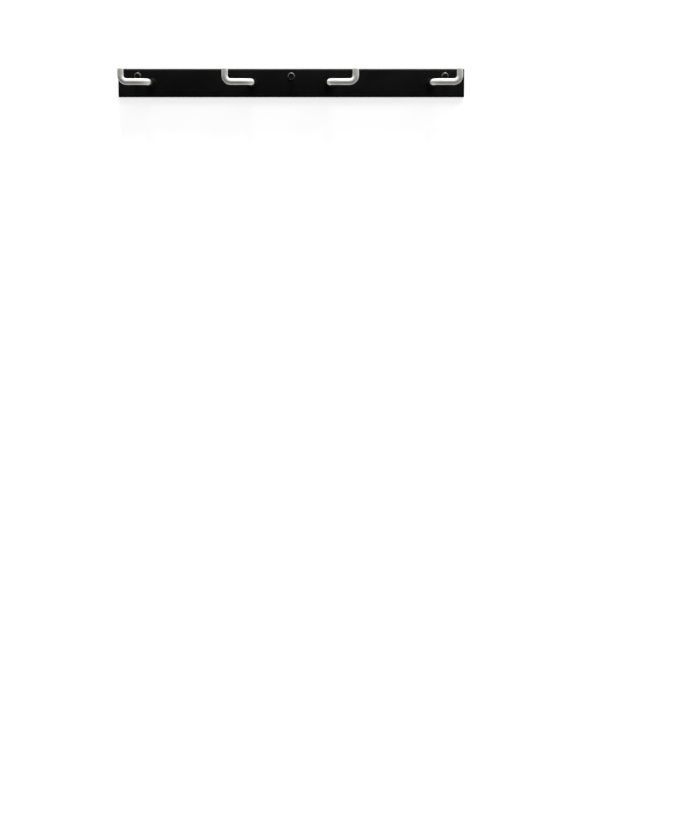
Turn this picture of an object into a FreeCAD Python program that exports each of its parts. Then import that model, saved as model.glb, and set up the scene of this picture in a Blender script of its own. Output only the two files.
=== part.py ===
import FreeCAD, Part
import math
import os

# Wall rack that hangs four bicycles by a wheel.
# A shallow steel channel lies flat on the wall and three hex lag bolts hold it to the studs.
# Four bent steel hooks pass through its face and are clamped there by a nut and washer on each side.
# A thick vinyl sleeve covers each hook where a wheel rim hangs.
#
# Millimetres. +X runs along the rail to the right as seen from the room, +Y into the wall, +Z up.
# The origin is where the axis of the middle lag bolt meets the wall, so y = 0 is the wall's surface.

# Rail: channel, open towards the wall, with two long rounded bends
RAIL_LENGTH = 915.0
RAIL_HEIGHT = 75.0
RAIL_DEPTH = 20.0
SHEET = 3.0
RAIL_BEND = 5.0                  # outer radius of the long bends
LAG_ABOVE_CENTRE = 18.0          # the lag bolts lie on a line above the rail's centre line

# Hooks: round bar, out from the rail, then sideways, then up into a short lip
POST_X = {"1": -369.0, "2": -102.0, "3": 102.0, "4": 369.0}
BAR_R = 6.35
STANDOFF = 190.0                 # wall to the axis of the prong
PRONG_SPAN = 66.0                # axis of the post to axis of the lip
ELBOW_R = 22.0                   # centre-line radius of the bend from post to prong
LIP_BEND_R = 16.0                # centre-line radius of the bend from prong to lip
LIP_RISE = 31.0                  # axis of the prong to the end of the bar in the lip
BAR_CHAMFER = 1.0

# Threaded tail of a hook, drawn at its nominal diameter
TAIL_R = 6.0
TAIL_CHAMFER = 1.0
TAIL_TO_WALL = 1.5               # the tail stops short of the wall
TAIL_AHEAD_OF_NUT = 6.0          # thread that shows in front of the front nut

# Vinyl sleeve
SLEEVE_R = 8.0
SLEEVE_ON_POST = 46.0            # axis of the prong back to the sleeve's open end
SLEEVE_LIP_ROUND = 1.0

# Nuts, bolt heads and washers; the hooks' own are M12
NUT_FLATS = 18.0
NUT_HEIGHT = 10.0
HEX_CHAMFER_DEG = 30.0
HEX_FACE_SHARE = 0.97            # face circle of a nut or bolt head, as a share of its flats
WASHER_R = 12.0
WASHER_HOLE_R = 6.5
WASHER_THICK = 2.5
WASHER_EDGE = 0.4                # small round on the punched edge of a washer
HOOK_HOLE_R = 6.5

# Lag bolts, 5/16 in by 3 in, on 16 in studs
LAG_X = {"left": -406.4, "centre": 0.0, "right": 406.4}
LAG_THREAD_R = 3.97
LAG_BODY_R = 3.5
LAG_LENGTH = 76.0
LAG_POINT = 8.0
LAG_POINT_R = 0.4
LAG_FLATS = 12.7
LAG_HEAD = 5.5
LAG_WASHER_R = 9.5
LAG_WASHER_HOLE_R = 4.3
LAG_WASHER_THICK = 2.0
LAG_HOLE_R = 4.5

RAIL_Z = -LAG_ABOVE_CENTRE
FACE_Y = -RAIL_DEPTH

SAME = 1e-6                      # two lengths this close are equal
THROUGH = 1.0                    # how far a cutting tool passes beyond both faces

X_AXIS = FreeCAD.Vector(1, 0, 0)
Y_AXIS = FreeCAD.Vector(0, 1, 0)
Z_AXIS = FreeCAD.Vector(0, 0, 1)


def vec(x, y, z):
    return FreeCAD.Vector(x, y, z)


def rod(radius, start, end):
    """Round bar between two points."""
    run = end - start
    return Part.makeCylinder(radius, run.Length, start, run)


def disc(radius, hole_r, centre, direction):
    """Flat disc, or a ring when hole_r isn't zero."""
    face = Part.Face(Part.Wire(Part.Circle(centre, direction, radius).toShape()))
    if hole_r:
        face = face.cut(Part.Face(Part.Wire(Part.Circle(centre, direction, hole_r).toShape()))).Faces[0]
    return face


def joined(solids):
    """One clean solid from touching ones."""
    whole = solids[0].fuse(solids[1:]).removeSplitter()
    return whole.Solids[0]


def ring_edges(shape, radius, y):
    """Full circles of a given radius in the plane at y."""
    circles = [e for e in shape.Edges if not e.Degenerated and isinstance(e.Curve, Part.Circle)]
    return [e for e in circles
            if abs(e.Curve.Radius - radius) < SAME
            and abs(e.Curve.Center.y - y) < SAME
            and abs(abs(e.Curve.Axis.y) - 1) < SAME]


def rail():
    """Channel with its face at the front and its two flanges reaching back to the wall."""
    outer = Part.makeBox(RAIL_LENGTH, RAIL_DEPTH, RAIL_HEIGHT,
                         vec(-RAIL_LENGTH / 2, FACE_Y, RAIL_Z - RAIL_HEIGHT / 2))
    long_edges = [e for e in outer.Edges
                  if e.Length > RAIL_LENGTH - SAME and abs(e.CenterOfMass.y - FACE_Y) < SAME]
    outer = outer.makeFillet(RAIL_BEND, long_edges)
    inner = Part.makeBox(RAIL_LENGTH, RAIL_DEPTH, RAIL_HEIGHT - 2 * SHEET,
                         vec(-RAIL_LENGTH / 2, FACE_Y + SHEET, RAIL_Z - RAIL_HEIGHT / 2 + SHEET))
    long_edges = [e for e in inner.Edges
                  if e.Length > RAIL_LENGTH - SAME and abs(e.CenterOfMass.y - FACE_Y - SHEET) < SAME]
    inner = inner.makeFillet(RAIL_BEND - SHEET, long_edges)
    channel = outer.cut(inner)
    holes = [rod(HOOK_HOLE_R, vec(x, FACE_Y - THROUGH, RAIL_Z), vec(x, FACE_Y + SHEET + THROUGH, RAIL_Z))
             for x in POST_X.values()]
    holes += [rod(LAG_HOLE_R, vec(x, FACE_Y - THROUGH, 0), vec(x, FACE_Y + SHEET + THROUGH, 0))
              for x in LAG_X.values()]
    return channel.cut(holes).Solids[0]


def bar(radius, hole_r, back_y, lip_end):
    """A left-hand hook's line from back_y to the end of the lip, with its post at x = 0.
    It is a solid bar, or a tube when hole_r isn't zero."""
    out_y = -STANDOFF
    post_end = vec(0, out_y + ELBOW_R, RAIL_Z)
    prong_start = vec(-ELBOW_R, out_y, RAIL_Z)
    prong_end = vec(LIP_BEND_R - PRONG_SPAN, out_y, RAIL_Z)
    lip_start = vec(-PRONG_SPAN, out_y, RAIL_Z + LIP_BEND_R)
    elbow_centre = vec(-ELBOW_R, out_y + ELBOW_R, RAIL_Z)
    lip_centre = vec(LIP_BEND_R - PRONG_SPAN, out_y, RAIL_Z + LIP_BEND_R)
    lip_top = vec(-PRONG_SPAN, out_y, lip_end)
    post = vec(0, back_y, RAIL_Z)
    return [disc(radius, hole_r, post, -Y_AXIS).extrude(post_end - post),
            disc(radius, hole_r, post_end, -Y_AXIS).revolve(elbow_centre, -Z_AXIS, 90),
            disc(radius, hole_r, prong_start, -X_AXIS).extrude(prong_end - prong_start),
            disc(radius, hole_r, prong_end, -X_AXIS).revolve(lip_centre, Y_AXIS, 90),
            disc(radius, hole_r, lip_start, Z_AXIS).extrude(lip_top - lip_start)]


def hook_rod():
    """Left-hand hook: bent bar with its threaded tail."""
    shoulder_y = FACE_Y - WASHER_THICK - NUT_HEIGHT - TAIL_AHEAD_OF_NUT
    lip_end = RAIL_Z + LIP_RISE
    tail = rod(TAIL_R, vec(0, shoulder_y, RAIL_Z), vec(0, -TAIL_TO_WALL, RAIL_Z))
    body = joined(bar(BAR_R, 0, shoulder_y, lip_end) + [tail])
    lip_edge = [e for e in body.Edges
                if isinstance(e.Curve, Part.Circle) and abs(e.Curve.Center.z - lip_end) < SAME]
    body = body.makeChamfer(BAR_CHAMFER, lip_edge)
    return body.makeChamfer(TAIL_CHAMFER, ring_edges(body, TAIL_R, -TAIL_TO_WALL))


def sleeve():
    """Left-hand vinyl tube, closed by a round dome over the lip and open on the post."""
    back_y = -STANDOFF + SLEEVE_ON_POST
    lip_end = RAIL_Z + LIP_RISE
    dome_centre = vec(-PRONG_SPAN, -STANDOFF, lip_end)
    dome = Part.makeSphere(SLEEVE_R, dome_centre, Z_AXIS, 0, 90, 360)
    # Vinyl in the corner that the bar's end chamfer leaves
    chamfer_base = dome_centre - Z_AXIS * BAR_CHAMFER
    corner = rod(BAR_R, chamfer_base, dome_centre).cut(
        Part.makeCone(BAR_R, BAR_R - BAR_CHAMFER, BAR_CHAMFER, chamfer_base, Z_AXIS))
    body = joined(bar(SLEEVE_R, BAR_R, back_y, lip_end) + [dome, corner])
    return body.makeFillet(SLEEVE_LIP_ROUND, ring_edges(body, SLEEVE_R, back_y))


def at_post(shape, x):
    """A left-hand piece moved to its post; to the right of the middle it is the mirror image."""
    if x > 0:
        shape = shape.mirror(vec(0, 0, 0), X_AXIS)
    return shape.translated(vec(x, 0, 0)).Solids[0]


def hexagon(flats, height, x, y, z):
    """Hexagonal prism along +Y from y, with a flat on top."""
    corner = flats / math.sqrt(3)
    angles = [math.radians(60 * k) for k in range(7)]
    points = [vec(x + corner * math.cos(a), y, z + corner * math.sin(a)) for a in angles]
    return Part.Face(Part.makePolygon(points)).extrude(Y_AXIS * height)


def chamfer_cone(flats, y, direction, x, z):
    """Solid that trims a hexagon's corners at the face at y; direction points into the hexagon."""
    corner = flats / math.sqrt(3)
    slope = math.tan(math.radians(HEX_CHAMFER_DEG))
    face_r = flats / 2 * HEX_FACE_SHARE
    reach = 2 * corner
    return Part.makeCone(face_r, face_r + reach / slope, reach, vec(x, y, z), Y_AXIS * direction)


def nut(x, y):
    """Hex nut along +Y from y, on a hook's tail."""
    block = hexagon(NUT_FLATS, NUT_HEIGHT, x, y, RAIL_Z)
    block = block.common(chamfer_cone(NUT_FLATS, y, 1, x, RAIL_Z))
    block = block.common(chamfer_cone(NUT_FLATS, y + NUT_HEIGHT, -1, x, RAIL_Z))
    bore = rod(TAIL_R, vec(x, y - THROUGH, RAIL_Z), vec(x, y + NUT_HEIGHT + THROUGH, RAIL_Z))
    return block.cut(bore).Solids[0]


def washer(radius, hole_r, thick, x, y, z):
    """Flat washer along +Y from y, with its outer edges slightly rounded."""
    plate = rod(radius, vec(x, y, z), vec(x, y + thick, z))
    rims = ring_edges(plate, radius, y) + ring_edges(plate, radius, y + thick)
    plate = plate.makeFillet(WASHER_EDGE, rims)
    return plate.cut(rod(hole_r, vec(x, y - THROUGH, z), vec(x, y + thick + THROUGH, z))).Solids[0]


def hook_washer(x, y):
    return washer(WASHER_R, WASHER_HOLE_R, WASHER_THICK, x, y, RAIL_Z)


def lag_washer(x):
    return washer(LAG_WASHER_R, LAG_WASHER_HOLE_R, LAG_WASHER_THICK, x, FACE_Y - LAG_WASHER_THICK, 0)


def lag_bolt(x):
    """Hex lag bolt: head in front of its washer, thread in the wall, pointed end."""
    seat_y = FACE_Y - LAG_WASHER_THICK
    head = hexagon(LAG_FLATS, LAG_HEAD, x, seat_y - LAG_HEAD, 0)
    head = head.common(chamfer_cone(LAG_FLATS, seat_y - LAG_HEAD, 1, x, 0))
    point_y = seat_y + LAG_LENGTH - LAG_POINT
    body = rod(LAG_BODY_R, vec(x, seat_y, 0), vec(x, 0, 0))
    thread = rod(LAG_THREAD_R, vec(x, 0, 0), vec(x, point_y, 0))
    point = Part.makeCone(LAG_THREAD_R, LAG_POINT_R, LAG_POINT, vec(x, point_y, 0), Y_AXIS)
    return joined([head, body, thread, point])


def write(name, shape):
    """Saves one piece and prints what it is."""
    if not shape.isValid():
        raise ValueError(name + " is not a valid solid")
    shape.exportStep("parts/" + name + ".step")
    print("%-20s %9.1f mm3, %d faces" % (name, shape.Volume, len(shape.Faces)))


def main():
    os.makedirs("parts", exist_ok=True)
    write("rail", rail())
    for number, x in POST_X.items():
        front_washer_y = FACE_Y - WASHER_THICK
        back_washer_y = FACE_Y + SHEET
        write("hook_rod_" + number, at_post(hook_rod(), x))
        write("hook_sleeve_" + number, at_post(sleeve(), x))
        write("front_nut_" + number, nut(x, front_washer_y - NUT_HEIGHT))
        write("front_washer_" + number, hook_washer(x, front_washer_y))
        write("back_washer_" + number, hook_washer(x, back_washer_y))
        write("back_nut_" + number, nut(x, back_washer_y + WASHER_THICK))
    for name, x in LAG_X.items():
        write("lag_bolt_" + name, lag_bolt(x))
        write("lag_washer_" + name, lag_washer(x))


main()
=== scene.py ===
import math

import bmesh
import bpy
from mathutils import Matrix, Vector


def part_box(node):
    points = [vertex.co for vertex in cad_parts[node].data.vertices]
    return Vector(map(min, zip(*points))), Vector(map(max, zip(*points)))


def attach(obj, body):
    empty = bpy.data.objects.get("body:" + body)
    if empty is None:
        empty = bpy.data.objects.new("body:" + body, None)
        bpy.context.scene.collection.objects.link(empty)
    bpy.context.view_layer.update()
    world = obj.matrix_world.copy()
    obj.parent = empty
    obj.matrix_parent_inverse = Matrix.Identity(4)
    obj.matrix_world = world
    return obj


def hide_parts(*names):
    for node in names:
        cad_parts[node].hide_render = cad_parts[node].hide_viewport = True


# Looks of a wall rack for four bicycles: a black rail, four bent hooks in white sleeves, and their fasteners.
# Everything is in metres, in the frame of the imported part: +X along the rail, +Y into the wall, +Z up.
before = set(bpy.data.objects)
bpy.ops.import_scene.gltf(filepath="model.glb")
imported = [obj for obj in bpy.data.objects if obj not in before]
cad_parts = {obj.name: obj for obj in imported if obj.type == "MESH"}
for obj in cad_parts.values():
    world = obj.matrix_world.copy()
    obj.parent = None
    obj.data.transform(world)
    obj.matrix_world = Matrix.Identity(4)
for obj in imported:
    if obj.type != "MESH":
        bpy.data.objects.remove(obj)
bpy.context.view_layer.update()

MM = 0.001
BODY = "root"
HOOKS = ("1", "2", "3", "4")
LAGS = ("left", "centre", "right")

# Sizes that a node's box doesn't give
SHEET = 3.0 * MM
RAIL_BEND = 5.0 * MM
ELBOW_R = 22.0 * MM              # centre line of the bend from post to prong
LIP_BEND_R = 16.0 * MM           # centre line of the bend from prong to lip
HOOK_HOLE_R = 6.5 * MM
LAG_HOLE_R = 4.5 * MM
TAIL_R = 6.0 * MM
TAIL_PITCH = 1.75 * MM
TAIL_DEPTH = 1.0 * MM
TAIL_AHEAD_OF_NUT = 6.0 * MM
WASHER_HOLE_R = 6.5 * MM
LAG_WASHER_HOLE_R = 4.3 * MM
LAG_BODY_R = 3.5 * MM
LAG_THREAD_R = 3.97 * MM
LAG_ROOT_R = 2.95 * MM
LAG_PITCH = 2.82 * MM
LAG_POINT = 8.0 * MM
LAG_HEAD = 5.5 * MM

# Fine detail, on edges and surfaces
HEX_CHAMFER = math.radians(30)
NUT_FACE_SHARE = 0.97            # face circle, as a share of the flats
BOLT_FACE_SHARE = 0.95
NUT_BEVEL = 0.12 * MM
RAIL_BEVEL = 0.35 * MM
CORNER_TURNED_OFF = 0.15 * MM    # off each corner of a hexagon
DISH_DEPTH = 0.35 * MM           # hollow in a lag bolt's head
NECK_FILLET = 0.5 * MM
THREAD_CLEARANCE = 0.02 * MM
COUNTERSINK = 0.7 * MM
WASHER_ROLL = 0.45 * MM          # round on the front edge of a washer
WASHER_BURR = 0.1 * MM           # chamfer on its back edge
BORE_CHAMFER = 0.3 * MM
LAG_WASHER_DOME = 0.9 * MM
BAR_CHAMFER = 1.0 * MM
SLEEVE_CLEARANCE = 0.03 * MM
SLEEVE_MOUTH_CHAMFER = 0.35 * MM
SLEEVE_MOUTH_R = 1.2 * MM
SLEEVE_DOME_END = math.radians(82)
SLEEVE_NUB_R = 0.9 * MM          # flat mark left by moulding, on the tip
SLEEVE_NUB_SUNK = 0.2 * MM
FOLDS = 5                        # folds inside each bend of a sleeve
FOLD_SUNK = 0.10 * MM
FOLD_DEPTH = 0.16 * MM

ROUND = 72                       # segments round nuts, bolts and washers
BAR_ROUND = 64                   # segments round bars and sleeves
POST_STEPS = 6                   # steps along the straight parts of a hook
PRONG_STEPS = 12
LIP_STEPS = 4
SLEEVE_BEND_STEPS = 28
ARC_STEPS = 10
SMOOTH_ANGLE = math.radians(38)


# ---------------------------------------------------------------- meshes

def turn(k, count):
    return 2 * math.pi * k / count


def ring(bm, place, t, radius, count=ROUND):
    """A ring of vertices at t along an axis. radius is a number, or a function of the angle."""
    at = radius if callable(radius) else lambda angle: radius
    return [bm.verts.new(place(t, at(turn(k, count)), turn(k, count))) for k in range(count)]


def bridge(bm, one, two):
    count = len(one)
    for k in range(count):
        bm.faces.new((one[k], one[(k + 1) % count], two[(k + 1) % count], two[k]))


def bridge_all(bm, rings, closed=False):
    for one, two in zip(rings, rings[1:]):
        bridge(bm, one, two)
    if closed:
        bridge(bm, rings[-1], rings[0])


def along_y(x, y, z, way=1):
    """Places a point t along +Y, or -Y, from (x, y, z), at a radius and an angle."""
    def place(t, radius, angle):
        return Vector((x + radius * math.cos(angle), y + way * t, z + radius * math.sin(angle)))
    return place


def smooth(a, b, t):
    t = min(max((t - a) / (b - a), 0.0), 1.0)
    return t * t * (3 - 2 * t)


def thread(bm, place, start, end, pitch, profile, root, crest, count=ROUND):
    """A helical thread between t = start and t = end, from a plain ring to a plain ring, which are returned.
    profile lists (share of the pitch, share of the height); root and crest give the radii at t."""
    steps = len(profile)
    margin = 0.25 * pitch
    last = round(count * ((end - start - 2 * margin) / pitch - 1))

    def point(i, j):
        share, height = profile[j % steps]
        t = start + margin + pitch * (i / count + share + j // steps)
        return place(t, root(t) + (crest(t) - root(t)) * height, turn(i % count, count))

    grid = [[bm.verts.new(point(i, j)) for j in range(steps)] for i in range(last + 1)]
    top = {i: bm.verts.new(point(i, steps)) for i in range(last - count + 1, last + 1)}

    def at(i, j):
        if j < steps:
            return grid[i][j]
        return top[i] if i in top else grid[i + count][0]

    for i in range(last):
        for j in range(steps):
            bm.faces.new((at(i, j), at(i + 1, j), at(i + 1, j + 1), at(i, j + 1)))
    first_ring = ring(bm, place, start, root(start), count)
    for i in range(count - 1):
        bm.faces.new((first_ring[i], first_ring[i + 1], at(i + 1, 0), at(i, 0)))
    column = [at(0, j) for j in range(steps + 1)]
    bm.faces.new([first_ring[-1], first_ring[0], *column, at(count - 1, 0)])
    last_ring = ring(bm, place, end, root(end), count)
    for i in range(last - count + 1, last):
        bm.faces.new((at(i, steps), at(i + 1, steps), last_ring[(i + 1) % count], last_ring[i % count]))
    column = [at(last, j) for j in range(steps, -1, -1)]
    begin = last - count
    bm.faces.new([last_ring[begin % count], *column, at(begin + 1, steps), last_ring[(begin + 1) % count]])
    return first_ring, last_ring


def piece(bm, name, materials, slot, *nodes, bevel=0.0):
    """Makes the finished object of a mesh, in place of its CAD node."""
    bmesh.ops.recalc_face_normals(bm, faces=bm.faces)
    mesh = bpy.data.meshes.new(name)
    bm.to_mesh(mesh)
    bm.free()
    for polygon in mesh.polygons:
        polygon.use_smooth = True
    obj = bpy.data.objects.new(name, mesh)
    bpy.context.scene.collection.objects.link(obj)
    for material in materials:
        mesh.materials.append(material)
    if bevel:
        edge = obj.modifiers.new("edges", "BEVEL")
        edge.width = bevel
        edge.segments = 2
        edge.limit_method = "ANGLE"
        edge.angle_limit = SMOOTH_ANGLE
        even = obj.modifiers.new("even", "WEIGHTED_NORMAL")
        even.keep_sharp = True
    else:
        mesh.set_sharp_from_angle(angle=SMOOTH_ANGLE)
    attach(obj, BODY)
    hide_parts(*nodes)
    return obj


# ---------------------------------------------------------------- materials

class Nodes:
    """Short names for the nodes of one material."""

    def __init__(self, name):
        self.material = bpy.data.materials.new(name)
        self.material.use_nodes = True
        self.tree = self.material.node_tree
        self.tree.nodes.clear()
        self.shader = self.new("ShaderNodeBsdfPrincipled")
        output = self.new("ShaderNodeOutputMaterial")
        self.join(self.shader.outputs[0], output.inputs["Surface"])
        self.where = self.new("ShaderNodeTexCoord").outputs["Object"]

    def new(self, kind, **settings):
        node = self.tree.nodes.new(kind)
        for key, value in settings.items():
            setattr(node, key, value)
        return node

    def join(self, source, target):
        self.tree.links.new(source, target)

    def feed(self, target, value):
        if isinstance(value, bpy.types.NodeSocket):
            self.join(value, target)
        else:
            target.default_value = value

    def noise(self, size, detail=3.0, rough=0.55, stretch=(1, 1, 1), distortion=0.0):
        """Noise whose features are about size metres across."""
        scaled = self.new("ShaderNodeMapping")
        scaled.inputs["Scale"].default_value = stretch
        self.join(self.where, scaled.inputs["Vector"])
        node = self.new("ShaderNodeTexNoise")
        self.join(scaled.outputs[0], node.inputs["Vector"])
        node.inputs["Scale"].default_value = 1 / size
        node.inputs["Detail"].default_value = detail
        node.inputs["Roughness"].default_value = rough
        node.inputs["Distortion"].default_value = distortion
        return node.outputs["Fac"]

    def spots(self, size, randomness=1.0):
        """Distance from scattered points about size metres apart."""
        node = self.new("ShaderNodeTexVoronoi")
        self.join(self.where, node.inputs["Vector"])
        node.inputs["Scale"].default_value = 1 / size
        node.inputs["Randomness"].default_value = randomness
        return node.outputs["Distance"]

    def math(self, kind, a, b=0.0, clamp=False):
        node = self.new("ShaderNodeMath", operation=kind, use_clamp=clamp)
        self.feed(node.inputs[0], a)
        self.feed(node.inputs[1], b)
        return node.outputs[0]

    def span(self, value, low, high, to_low=0.0, to_high=1.0):
        """value taken from low..high to to_low..to_high, smoothly and clamped."""
        node = self.new("ShaderNodeMapRange", interpolation_type="SMOOTHSTEP")
        self.feed(node.inputs["Value"], value)
        node.inputs["From Min"].default_value = low
        node.inputs["From Max"].default_value = high
        node.inputs["To Min"].default_value = to_low
        node.inputs["To Max"].default_value = to_high
        return node.outputs[0]

    def mix(self, share, a, b):
        """Colour between a and b."""
        node = self.new("ShaderNodeMix", data_type="RGBA")
        self.feed(node.inputs[0], share)
        self.feed(node.inputs[6], a)
        self.feed(node.inputs[7], b)
        return node.outputs[2]

    def axis(self, letter, source=None):
        """One coordinate of the place, or of another vector."""
        node = self.new("ShaderNodeSeparateXYZ")
        self.join(source or self.where, node.inputs[0])
        return node.outputs[letter]

    def facing(self, letter):
        """How far the surface faces along a world axis, from -1 to 1."""
        return self.axis(letter, self.new("ShaderNodeNewGeometry").outputs["Normal"])

    def distance(self, place):
        """Distance in the XZ plane from a place on the rail's face."""
        flat = self.new("ShaderNodeCombineXYZ")
        self.join(self.axis("X"), flat.inputs[0])
        self.join(self.axis("Z"), flat.inputs[2])
        node = self.new("ShaderNodeVectorMath", operation="DISTANCE")
        self.join(flat.outputs[0], node.inputs[0])
        node.inputs[1].default_value = (place[0], 0.0, place[1])
        return node.outputs["Value"]

    def bumps(self, *layers):
        """Stacks bump layers, each (height, depth in metres, strength)."""
        normal = None
        for height, depth, strength in layers:
            node = self.new("ShaderNodeBump")
            node.inputs["Strength"].default_value = strength
            node.inputs["Distance"].default_value = depth
            self.join(height, node.inputs["Height"])
            if normal is not None:
                self.join(normal, node.inputs["Normal"])
            normal = node.outputs[0]
        self.join(normal, self.shader.inputs["Normal"])

    def set(self, **values):
        """Sets or links inputs of the shader: base_color, roughness and so on."""
        for key, value in values.items():
            self.feed(self.shader.inputs[key.replace("_", " ").title().replace("Ior", "IOR")], value)


def grey(value, warm=0.0):
    return (value * (1 + warm), value, value * (1 - warm), 1.0)


RUB_MARK_R = 12.6 * MM           # just outside a hook's washer


def powder_coat(name, rubbed_places=(), painted_top_light_heights=None):
    """Satin black powder coat: a fine orange peel, uneven gloss, dust on upward faces, painted light that
    makes the coat lighter towards the top between the two heights given, and rub marks round the places
    given."""
    n = Nodes(name)
    peel = n.noise(1.3 * MM, detail=2.0, rough=0.4)
    grain = n.noise(0.22 * MM, detail=2.0, rough=0.6)
    sheet = n.noise(60 * MM, detail=1.0, stretch=(0.35, 1, 1))
    patches = n.noise(45 * MM, detail=4.0, distortion=0.6)
    settled = n.span(n.facing("Z"), 0.5, 0.95)
    dust = n.math("MULTIPLY", settled, n.span(n.noise(6 * MM, 5.0, 0.7), 0.38, 0.72))
    colour = n.mix(n.span(patches, 0.35, 0.7), grey(0.0022), grey(0.0031))
    if painted_top_light_heights:
        # Painted light: the coat turns a lighter grey towards the top of the rail, standing in for light
        # falling from above.
        painted_top_light = n.math("MULTIPLY", n.span(n.axis("Z"), *painted_top_light_heights), n.span(patches, 0.2, 0.8, 0.75, 1.0))
        colour = n.mix(painted_top_light, colour, grey(0.0085))
    colour = n.mix(n.math("MULTIPLY", dust, 0.16), colour, grey(0.11, 0.10))
    rough = n.span(patches, 0.3, 0.75, 0.40, 0.52)
    rough = n.math("ADD", rough, n.math("MULTIPLY", dust, 0.22))
    if rubbed_places:
        near = None
        for place in rubbed_places:
            off = n.math("ABSOLUTE", n.math("SUBTRACT", n.distance(place), RUB_MARK_R))
            ring_mark = n.span(off, 1.6 * MM, 0.1 * MM)
            near = ring_mark if near is None else n.math("MAXIMUM", near, ring_mark)
        scuffed = n.math("MULTIPLY", near, n.span(n.noise(2.2 * MM, 4.0, 0.7), 0.44, 0.62))
        colour = n.mix(n.math("MULTIPLY", scuffed, 0.35), colour, grey(0.05))
        rough = n.math("SUBTRACT", rough, n.math("MULTIPLY", scuffed, 0.12))
    n.set(base_color=colour, roughness=rough, specular_ior_level=0.20)
    n.bumps((sheet, 1.2 * MM, 0.12), (peel, 0.10 * MM, 0.42), (grain, 0.03 * MM, 0.35))
    return n.material


def vinyl(name, prong_z):
    """Soft white vinyl: slightly warm, semi-gloss, a little translucent, scuffed where the rims hang."""
    n = Nodes(name)
    waves = n.noise(9 * MM, detail=1.5)
    grain = n.noise(0.35 * MM, detail=3.0, rough=0.6)
    cloud = n.noise(14 * MM, detail=4.0, distortion=0.4)
    top = n.span(n.facing("Z"), 0.55, 0.98)
    streaks = n.span(n.noise(2.4 * MM, 6.0, 0.72, stretch=(0.5, 3.0, 1.0)), 0.56, 0.74)
    on_prong = n.span(n.axis("Z"), prong_z, prong_z + 9 * MM)
    scuff = n.math("MULTIPLY", n.math("MULTIPLY", top, streaks), on_prong)
    specks = n.span(n.spots(7 * MM), 0.075, 0.04)
    colour = n.mix(n.span(cloud, 0.3, 0.75), (0.82, 0.815, 0.775, 1.0), (0.87, 0.865, 0.83, 1.0))
    colour = n.mix(n.math("MULTIPLY", scuff, 0.30), colour, grey(0.32, 0.05))
    colour = n.mix(n.math("MULTIPLY", specks, 0.25), colour, grey(0.40, 0.08))
    rough = n.span(cloud, 0.3, 0.75, 0.30, 0.40)
    rough = n.math("ADD", rough, n.math("MULTIPLY", scuff, 0.2))
    n.set(base_color=colour, roughness=rough, specular_ior_level=0.45)
    n.set(subsurface_weight=0.05, subsurface_scale=1.5 * MM)
    n.bumps((waves, 0.5 * MM, 0.10), (grain, 0.02 * MM, 0.30))
    return n.material


def black_plate(name, brightness, roughness_low, metal=0.55):
    """Zinc plate on steel: partly metallic, with fine machining lines and bare wear. Its roughness varies
    upward from roughness_low."""
    n = Nodes(name)
    cloud = n.noise(3.5 * MM, detail=4.0)
    fine = n.noise(0.18 * MM, detail=3.0, rough=0.65)
    lines = n.noise(0.5 * MM, detail=2.0, stretch=(0.25, 6.0, 0.25))
    worn = n.span(n.noise(1.6 * MM, 5.0, 0.7), 0.60, 0.72)
    colour = n.mix(n.span(cloud, 0.3, 0.7), grey(brightness), grey(brightness * 1.7))
    colour = n.mix(n.math("MULTIPLY", worn, 0.35), colour, grey(0.16))
    rough = n.span(cloud, 0.3, 0.7, roughness_low, roughness_low + 0.14)
    n.set(base_color=colour, roughness=rough, metallic=metal)
    n.bumps((lines, 0.04 * MM, 0.25), (fine, 0.02 * MM, 0.30))
    return n.material


# ---------------------------------------------------------------- places, from the frame

rail_lo, rail_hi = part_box("rail")
face_y = rail_lo.y


def centre(node):
    lo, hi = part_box(node)
    return (lo + hi) / 2


hook_z = centre("front_nut_1").z
hook_x = {n: centre("front_nut_" + n).x for n in HOOKS}
lag_z = centre("lag_washer_centre").z
lag_x = {n: centre("lag_washer_" + n).x for n in LAGS}
hook_places = [(hook_x[n], hook_z) for n in HOOKS]

# The rail's bottom and top heights, between which painted light makes the coat lighter towards the top.
RAIL_COAT = powder_coat("rail_powder_coat", hook_places, (rail_lo.z, rail_hi.z))
ROD_COAT = powder_coat("rod_powder_coat")
VINYL = vinyl("white_vinyl", hook_z)
PLATE = black_plate("nut_black_zinc", brightness=0.007, roughness_low=0.36)
LAG_PLATE = black_plate("lag_black_zinc", brightness=0.005, roughness_low=0.32)
LAG_WASHER_PLATE = black_plate("lag_washer_zinc", brightness=0.20, roughness_low=0.34, metal=0.9)


# ---------------------------------------------------------------- rail

def arc(cy, cz, radius, start, end, steps=ARC_STEPS):
    """Points of an arc in the YZ plane, angles in degrees from +Y towards +Z."""
    angles = [math.radians(start + (end - start) * k / steps) for k in range(steps + 1)]
    return [(cy + radius * math.cos(a), cz + radius * math.sin(a)) for a in angles]


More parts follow.
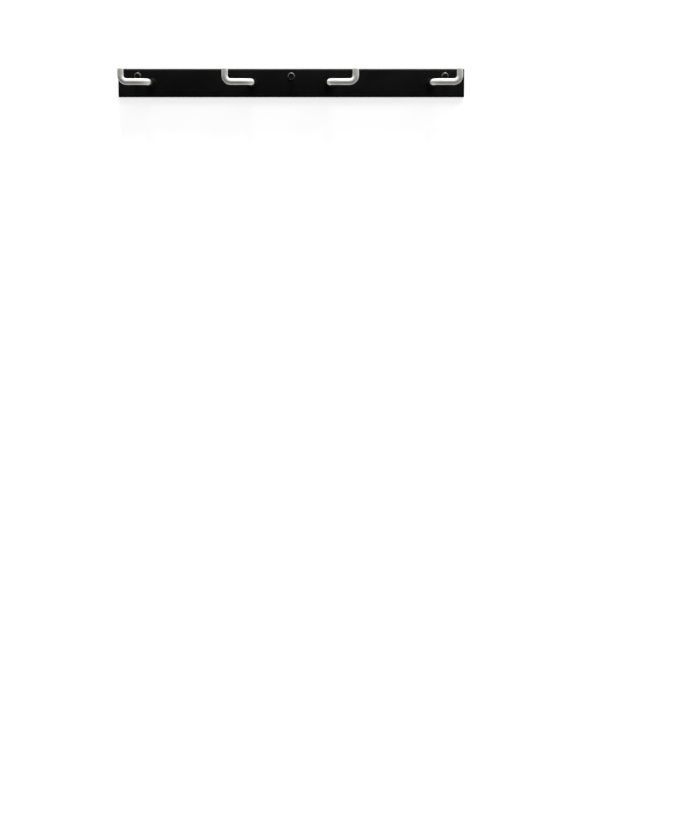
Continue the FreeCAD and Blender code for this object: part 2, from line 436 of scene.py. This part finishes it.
def rail():
    """Channel bent from sheet, with punched holes and deburred edges."""
    inner_r = RAIL_BEND - SHEET
    top, bottom, back = rail_hi.z, rail_lo.z, rail_hi.y
    outline = [(back, bottom)]
    outline += arc(face_y + RAIL_BEND, bottom + RAIL_BEND, RAIL_BEND, 270, 180)
    outline += arc(face_y + RAIL_BEND, top - RAIL_BEND, RAIL_BEND, 180, 90)
    outline += [(back, top), (back, top - SHEET)]
    outline += arc(face_y + RAIL_BEND, top - RAIL_BEND, inner_r, 90, 180)
    outline += arc(face_y + RAIL_BEND, bottom + RAIL_BEND, inner_r, 180, 270)
    outline += [(back, bottom + SHEET)]
    bm = bmesh.new()
    ends = [[bm.verts.new((x, y, z)) for y, z in outline] for x in (rail_lo.x, rail_hi.x)]
    bridge(bm, *ends)
    bm.faces.new(ends[0])
    bm.faces.new(ends[1])
    bmesh.ops.recalc_face_normals(bm, faces=bm.faces)
    channel = bpy.data.meshes.new("channel")
    bm.to_mesh(channel)
    bm.free()
    bm = bmesh.new()
    holes = [(x, z, HOOK_HOLE_R) for x, z in hook_places]
    holes += [(lag_x[n], lag_z, LAG_HOLE_R) for n in LAGS]
    for x, z, radius in holes:
        punch = along_y(x, face_y, z)
        rings = [ring(bm, punch, t, radius) for t in (-SHEET, 2 * SHEET)]
        bridge(bm, *rings)
        bm.faces.new(rings[0])
        bm.faces.new(rings[1])
    bmesh.ops.recalc_face_normals(bm, faces=bm.faces)
    punches = bpy.data.meshes.new("punches")
    bm.to_mesh(punches)
    bm.free()
    return cut(channel, punches)


def cut(mesh, tool):
    """The mesh with the tool cut out of it, as a bmesh."""
    objects = [bpy.data.objects.new(m.name, m) for m in (mesh, tool)]
    for obj in objects:
        bpy.context.scene.collection.objects.link(obj)
    boolean = objects[0].modifiers.new("cut", "BOOLEAN")
    boolean.operation = "DIFFERENCE"
    boolean.solver = "EXACT"
    boolean.object = objects[1]
    bpy.context.view_layer.update()
    result = objects[0].evaluated_get(bpy.context.evaluated_depsgraph_get()).to_mesh()
    bm = bmesh.new()
    bm.from_mesh(result)
    for obj in objects:
        bpy.data.objects.remove(obj)
    return bm


# ---------------------------------------------------------------- hooks

def hook_line(x, back_y, out_y, z, span, lip_end, steps=20):
    """Places along a hook: (point, across, up) from back_y on the post to the end of the lip."""
    side = math.copysign(1.0, x)
    up = Vector((0, 0, 1))
    line = []

    def straight(start, end, across, upward, count):
        for k in range(count):
            line.append((start.lerp(end, k / count), across, upward))

    post_end = Vector((x, out_y + ELBOW_R, z))
    straight(Vector((x, back_y, z)), post_end, Vector((1, 0, 0)), up, POST_STEPS)
    for k in range(steps):
        a = math.pi / 2 * k / steps
        point = post_end + ELBOW_R * Vector((side * (1 - math.cos(a)), -math.sin(a), 0))
        line.append((point, Vector((math.cos(a), side * math.sin(a), 0)), up))
    across = Vector((0, side, 0))
    prong_end = Vector((x + side * (span - LIP_BEND_R), out_y, z))
    straight(Vector((x + side * ELBOW_R, out_y, z)), prong_end, across, up, PRONG_STEPS)
    for k in range(steps):
        a = math.pi / 2 * k / steps
        point = prong_end + LIP_BEND_R * Vector((side * math.sin(a), 0, 1 - math.cos(a)))
        line.append((point, across, Vector((-side * math.sin(a), 0, math.cos(a)))))
    lip = Vector((x + side * span, out_y, z + LIP_BEND_R))
    inward = Vector((-side, 0, 0))
    straight(lip, Vector((lip.x, out_y, lip_end)), across, inward, LIP_STEPS)
    line.append((Vector((lip.x, out_y, lip_end)), across, inward))
    return line


def round_at(bm, station, radius):
    """Ring of vertices round one place of a hook's line."""
    point, across, up = station
    at = radius if callable(radius) else lambda angle: radius
    angles = [turn(k, BAR_ROUND) for k in range(BAR_ROUND)]
    return [bm.verts.new(point + at(a) * (across * math.cos(a) + up * math.sin(a))) for a in angles]


def hook_sizes(number):
    """x of the post, bar radius, y of the prong, span, and the height where the bar ends."""
    rod_lo, rod_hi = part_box("hook_rod_" + number)
    x = hook_x[number]
    bar_r = hook_z - rod_lo.z
    far = rod_lo.x if x < 0 else rod_hi.x
    span = abs(far - x) - bar_r
    return x, bar_r, rod_lo.y + bar_r, span, rod_hi.z


# Thread profiles: (share of the pitch, share of the height)
METRIC = [(0.0, 0.0), (0.12, 0.0), (0.20, 0.06), (0.48, 0.90),
          (0.53, 1.0), (0.63, 1.0), (0.68, 0.90), (0.94, 0.06)]
WOOD = [(0.0, 0.0), (0.30, 0.0), (0.40, 0.10), (0.60, 0.88),
        (0.64, 1.0), (0.68, 1.0), (0.72, 0.88), (0.90, 0.08)]


def hook_rod(number):
    """Bent bar, coated, with a plated M12 thread on its tail."""
    x, bar_r, out_y, span, bar_end = hook_sizes(number)
    tail_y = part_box("hook_rod_" + number)[1].y
    nut_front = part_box("front_nut_" + number)[0].y
    shoulder = nut_front - TAIL_AHEAD_OF_NUT
    length = tail_y - shoulder
    bm = bmesh.new()
    tail = along_y(x, tail_y, hook_z, -1)
    root = TAIL_R - TAIL_DEPTH

    def crest(t):
        lead_in = smooth(0.4 * MM, 2.0 * MM, t)
        run_out = smooth(length, length - 2.6 * MM, t)
        return root + TAIL_DEPTH * lead_in * run_out

    tip = [ring(bm, tail, 0.0, root - 0.55 * MM, BAR_ROUND),
           ring(bm, tail, 0.35 * MM, root - 0.1 * MM, BAR_ROUND)]
    bm.faces.new(tip[0])
    first, last = thread(bm, tail, 0.5 * MM, length - 1.0 * MM, TAIL_PITCH, METRIC,
                         lambda t: root, crest, BAR_ROUND)
    bridge_all(bm, [*tip, first])
    threaded = len(bm.faces)
    shoulder_rings = [ring(bm, tail, length - 0.4 * MM, root, BAR_ROUND),
                      ring(bm, tail, length, bar_r - 0.7 * MM, BAR_ROUND),
                      ring(bm, tail, length + 0.5 * MM, bar_r - 0.15 * MM, BAR_ROUND)]
    line = hook_line(x, shoulder - 1.1 * MM, out_y, hook_z, span, bar_end)
    bar = [round_at(bm, station, bar_r) for station in line[:-1]]
    bar.append(round_at(bm, line[-1], bar_r - BAR_CHAMFER))
    bridge_all(bm, [last, *shoulder_rings, *bar])
    bm.faces.new(bar[-1])
    for index, face in enumerate(bm.faces):
        face.material_index = 1 if index < threaded else 0
    return piece(bm, "rod_" + number, (ROD_COAT, PLATE), "rod_black", "hook_rod_" + number)


def sleeve(number):
    """Thick vinyl tube over the bar: a rounded open end, a domed tip and faint folds inside its bends."""
    x, bar_r, out_y, span, bar_end = hook_sizes(number)
    lo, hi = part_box("hook_sleeve_" + number)
    radius = hook_z - lo.z
    side = math.copysign(1.0, x)
    line = hook_line(x, hi.y, out_y, hook_z, span, bar_end, SLEEVE_BEND_STEPS)
    elbow_start = POST_STEPS
    lip_bend_start = elbow_start + SLEEVE_BEND_STEPS + PRONG_STEPS

    def skin(index):
        """Outer radius at one place: the bends are pressed in on their inner side and folded a little."""
        for begin, inner in ((elbow_start, 0.0 if side > 0 else math.pi), (lip_bend_start, math.pi / 2)):
            share = (index - begin) / SLEEVE_BEND_STEPS
            if 0 < share < 1:
                swell = math.sin(math.pi * share)
                fold = 0.5 - 0.5 * math.cos(2 * math.pi * FOLDS * share)

                def at(angle, swell=swell, fold=fold, inner=inner):
                    toward = max(math.cos(angle - inner), 0.0) ** 3
                    return radius - swell * toward * (FOLD_SUNK + FOLD_DEPTH * fold)
                return at
        return radius

    bm = bmesh.new()
    bore = bar_r + SLEEVE_CLEARANCE
    inside = [round_at(bm, station, bore) for station in reversed(line)]
    bm.faces.new(inside[0])
    point, across, up = line[0]
    mouth = [round_at(bm, line[0], bore + SLEEVE_MOUTH_CHAMFER)]
    for k in range(6):
        a = math.pi / 2 * k / 5
        place = (point + Vector((0, -SLEEVE_MOUTH_R * (1 - math.cos(a)), 0)), across, up)
        mouth.append(round_at(bm, place, radius - SLEEVE_MOUTH_R * (1 - math.sin(a))))
    outside = [round_at(bm, station, skin(i)) for i, station in enumerate(line) if i > 0]
    top, across, up = line[-1]
    dome = []
    for k in range(1, 13):
        a = SLEEVE_DOME_END * k / 12
        place = (top + Vector((0, 0, radius * math.sin(a))), across, up)
        dome.append(round_at(bm, place, radius * math.cos(a)))
    nub = top + Vector((0, 0, radius * math.sin(SLEEVE_DOME_END)))
    dome.append(round_at(bm, (nub + Vector((0, 0, -SLEEVE_NUB_SUNK)), across, up), SLEEVE_NUB_R))
    bridge_all(bm, [*inside, *mouth, *outside, *dome])
    bm.faces.new(dome[-1])
    return piece(bm, "sleeve_" + number, (VINYL,), "vinyl_white", "hook_sleeve_" + number)


# ---------------------------------------------------------------- fasteners

def hexagon(flats):
    """Radius of a hexagon with a flat on top, its corners turned off slightly."""
    corner = flats / math.sqrt(3)

    def at(angle):
        return min(flats / 2 / math.cos(angle % (math.pi / 3) - math.pi / 6), corner - CORNER_TURNED_OFF)
    return at


def chamfer(flats, face_r):
    """How far behind the face each point of the hexagon's edge lies."""
    outline = hexagon(flats)
    return lambda angle: (outline(angle) - face_r) * math.tan(HEX_CHAMFER)


def hex_ring(bm, place, t, flats, face_r, way):
    """The line where the chamfer meets the hexagon's sides; way points into the hexagon."""
    outline, drop = hexagon(flats), chamfer(flats, face_r)
    angles = [turn(k, ROUND) for k in range(ROUND)]
    return [bm.verts.new(place(t + way * drop(a), outline(a), a)) for a in angles]


def nut(node):
    """Hex nut, chamfered and countersunk on both faces."""
    lo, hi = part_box(node)
    place = along_y((lo.x + hi.x) / 2, lo.y, hook_z)
    flats, height = hi.z - lo.z, hi.y - lo.y
    face_r = flats / 2 * NUT_FACE_SHARE
    bore = TAIL_R + THREAD_CLEARANCE
    sunk = bore + COUNTERSINK
    bm = bmesh.new()
    rings = [ring(bm, place, COUNTERSINK, bore), ring(bm, place, 0.0, sunk), ring(bm, place, 0.0, face_r),
             hex_ring(bm, place, 0.0, flats, face_r, 1), hex_ring(bm, place, height, flats, face_r, -1),
             ring(bm, place, height, face_r), ring(bm, place, height, sunk),
             ring(bm, place, height - COUNTERSINK, bore)]
    bridge_all(bm, rings, closed=True)
    return piece(bm, node.replace("nut", "hex_nut"), (PLATE,), "hardware_black", node, bevel=NUT_BEVEL)


def washer(node, hole_r, z, material, slot, dome=0.0):
    """Punched washer with a rolled front edge; dome is how far its face falls away towards that edge."""
    lo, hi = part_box(node)
    radius, thick = (hi.z - lo.z) / 2, hi.y - lo.y
    place = along_y((lo.x + hi.x) / 2, lo.y, z)
    flat_r = 0.6 * radius
    slope = radius - WASHER_ROLL - flat_r
    bm = bmesh.new()
    rings = [ring(bm, place, thick, hole_r), ring(bm, place, BORE_CHAMFER, hole_r),
             ring(bm, place, 0.0, hole_r + BORE_CHAMFER)]
    if dome:
        for k in range(5):
            share = k / 5
            rings.append(ring(bm, place, dome * share ** 1.5, flat_r + slope * share))
    for k in range(5):
        a = math.pi / 2 * k / 4
        fall = dome + WASHER_ROLL * (1 - math.cos(a))
        rings.append(ring(bm, place, fall, radius - WASHER_ROLL * (1 - math.sin(a))))
    rings += [ring(bm, place, thick - WASHER_BURR, radius), ring(bm, place, thick, radius - WASHER_BURR)]
    bridge_all(bm, rings, closed=True)
    return piece(bm, node.replace("washer", "flat_washer"), (material,), slot, node)


def lag_bolt(name):
    """Hex lag bolt: chamfered head, plain neck, coarse thread and a gimlet point."""
    node = "lag_bolt_" + name
    lo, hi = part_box(node)
    x = lag_x[name]
    flats, length = hi.z - lo.z, hi.y - lo.y
    face_r = flats / 2 * BOLT_FACE_SHARE
    place = along_y(x, lo.y, lag_z)
    wall = -lo.y
    point = length - LAG_POINT
    bm = bmesh.new()
    dish = ring(bm, place, DISH_DEPTH, face_r - 1.5 * MM)
    head = [dish, ring(bm, place, 0.0, face_r - 0.7 * MM), ring(bm, place, 0.0, face_r),
            hex_ring(bm, place, 0.0, flats, face_r, 1), ring(bm, place, LAG_HEAD, hexagon(flats)),
            ring(bm, place, LAG_HEAD, LAG_BODY_R + NECK_FILLET),
            ring(bm, place, LAG_HEAD + NECK_FILLET, LAG_BODY_R)]
    bm.faces.new(dish)

    def taper(t):
        return 1 - 0.88 * smooth(point, length + 2.0 * MM, t) ** 0.9

    def root(t):
        return (LAG_BODY_R + (LAG_ROOT_R - LAG_BODY_R) * smooth(wall - 2 * MM, wall + 2 * MM, t)) * taper(t)

    def crest(t):
        grown = smooth(wall - 1 * MM, wall + 5 * MM, t)
        return root(t) + (LAG_THREAD_R - LAG_ROOT_R) * grown * (1 - 0.75 * smooth(point, length - MM, t))

    end = length - 0.5 * MM
    first, last = thread(bm, place, wall - 1 * MM, end, LAG_PITCH, WOOD, root, crest)
    tip = ring(bm, place, length - 0.1 * MM, 0.25 * MM)
    bridge_all(bm, [*head, first])
    bridge_all(bm, [last, tip])
    bm.faces.new(tip)
    return piece(bm, "hex_lag_" + name, (LAG_PLATE,), "lag_black", node)


# ---------------------------------------------------------------- the object

piece(rail(), "channel_rail", (RAIL_COAT,), "rail_black", "rail", bevel=RAIL_BEVEL)
for number in HOOKS:
    hook_rod(number)
    sleeve(number)
    nut("front_nut_" + number)
    nut("back_nut_" + number)
    washer("front_washer_" + number, WASHER_HOLE_R, hook_z, PLATE, "hardware_black")
    washer("back_washer_" + number, WASHER_HOLE_R, hook_z, PLATE, "hardware_black")
for name in LAGS:
    lag_bolt(name)
    washer("lag_washer_" + name, LAG_WASHER_HOLE_R, lag_z, LAG_WASHER_PLATE, "lag_black", LAG_WASHER_DOME)


# ---------------------------------------------------------------- stage, light and camera

WALL_GAP = 0.5 * MM
WALL_GLOW = 0.79                 # keeps the wall white outside the rack's shadow
FLOOR_Z = -3.0


def stage_panel(name, material, corners):
    """A flat panel of the stage."""
    mesh = bpy.data.meshes.new(name)
    mesh.from_pydata(corners, [], [(0, 1, 2, 3)])
    mesh.materials.append(material)
    obj = bpy.data.objects.new(name, mesh)
    bpy.context.scene.collection.objects.link(obj)


def wall():
    """A white wall just behind the rack. It shows from its front only: views from behind look through it."""
    n = Nodes("pale_wall")
    tone = n.noise(0.5, detail=2.0)
    n.set(base_color=n.mix(tone, grey(0.83), grey(0.87)), roughness=0.9, specular_ior_level=0.1,
          emission_color=grey(1.0), emission_strength=WALL_GLOW)
    clear = n.new("ShaderNodeBsdfTransparent")
    either = n.new("ShaderNodeMixShader")
    n.join(n.new("ShaderNodeNewGeometry").outputs["Backfacing"], either.inputs[0])
    n.join(n.shader.outputs[0], either.inputs[1])
    n.join(clear.outputs[0], either.inputs[2])
    output = next(node for node in n.tree.nodes if node.type == "OUTPUT_MATERIAL")
    n.join(either.outputs[0], output.inputs["Surface"])
    n.material.cycles.emission_sampling = "NONE"
    stage_panel("wall", n.material, [(x, WALL_GAP, z) for x, z in ((-8, -5), (8, -5), (8, 3), (-8, 3))])


def floor():
    """A plain pale floor, below what the camera sees."""
    n = Nodes("pale_floor")
    tone = n.noise(0.3, detail=3.0)
    n.set(base_color=n.mix(tone, grey(0.46), grey(0.50)), roughness=0.8, specular_ior_level=0.2)
    outline = ((-1.2, -1.6), (1.2, -1.6), (1.2, WALL_GAP), (-1.2, WALL_GAP))
    stage_panel("floor", n.material, [(x, y, FLOOR_Z) for x, y in outline])


def sun(name, elevation, to_right, spread, strength):
    """Parallel light from above and in front; to_right turns it towards +X. All angles in degrees."""
    light = bpy.data.lights.new(name, "SUN")
    light.energy = strength
    light.angle = math.radians(spread)
    obj = bpy.data.objects.new(name, light)
    bpy.context.scene.collection.objects.link(obj)
    up, round_z = math.radians(elevation), math.radians(to_right)
    source = Vector((math.sin(round_z) * math.cos(up), -math.cos(round_z) * math.cos(up), math.sin(up)))
    obj.rotation_euler = (-source).to_track_quat("-Z", "Y").to_euler()


def softbox(name, place, size, power):
    """A rectangular light at a place, turned to the rack."""
    light = bpy.data.lights.new(name, "AREA")
    light.shape = "RECTANGLE"
    light.size, light.size_y = size
    light.energy = power
    obj = bpy.data.objects.new(name, light)
    bpy.context.scene.collection.objects.link(obj)
    obj.location = place
    obj.rotation_euler = (-Vector(place)).to_track_quat("-Z", "Y").to_euler()


def surroundings(seen, lit):
    """Pale grey all round: seen is its brightness to the eye, and lit its strength as a light."""
    world = bpy.data.worlds.new("studio")
    bpy.context.scene.world = world
    world.use_nodes = True
    tree = world.node_tree
    background = tree.nodes["Background"]
    background.inputs["Color"].default_value = (1, 1, 1, 1)
    path = tree.nodes.new("ShaderNodeLightPath")
    strength = tree.nodes.new("ShaderNodeMapRange")
    strength.inputs["To Min"].default_value = lit
    strength.inputs["To Max"].default_value = seen
    tree.links.new(path.outputs["Is Camera Ray"], strength.inputs["Value"])
    tree.links.new(strength.outputs[0], background.inputs["Strength"])


CAMERA_PLACE = Vector((0.0891, -5.4305, -0.1269))
CAMERA_DOWN = math.radians(7.96)
FOCAL = 89.34
SHIFT_X = 0.0178


def camera():
    """A little right of the rack's middle and a little below it, tilted down, as in the photograph."""
    data = bpy.data.cameras.new("camera")
    data.lens = FOCAL
    data.shift_x = SHIFT_X
    data.clip_end = 50
    obj = bpy.data.objects.new("camera", data)
    bpy.context.scene.collection.objects.link(obj)
    obj.location = CAMERA_PLACE
    obj.rotation_euler = (math.pi / 2 - CAMERA_DOWN, 0, 0)
    bpy.context.scene.camera = obj


wall()
floor()
sun("key", elevation=83, to_right=20, spread=12, strength=4.7)
softbox("front", place=(1.0, -2.0, 2.2), size=(2.4, 1.2), power=25)
softbox("left", place=(-1.6, -0.35, 1.2), size=(0.5, 1.0), power=3)
softbox("right", place=(1.6, -0.35, 1.2), size=(0.5, 1.0), power=4)
softbox("behind", place=(0.0, 2.2, 1.4), size=(2.4, 1.2), power=50)
surroundings(seen=0.72, lit=0.05)
camera()
bpy.context.scene.view_settings.view_transform = "Standard"
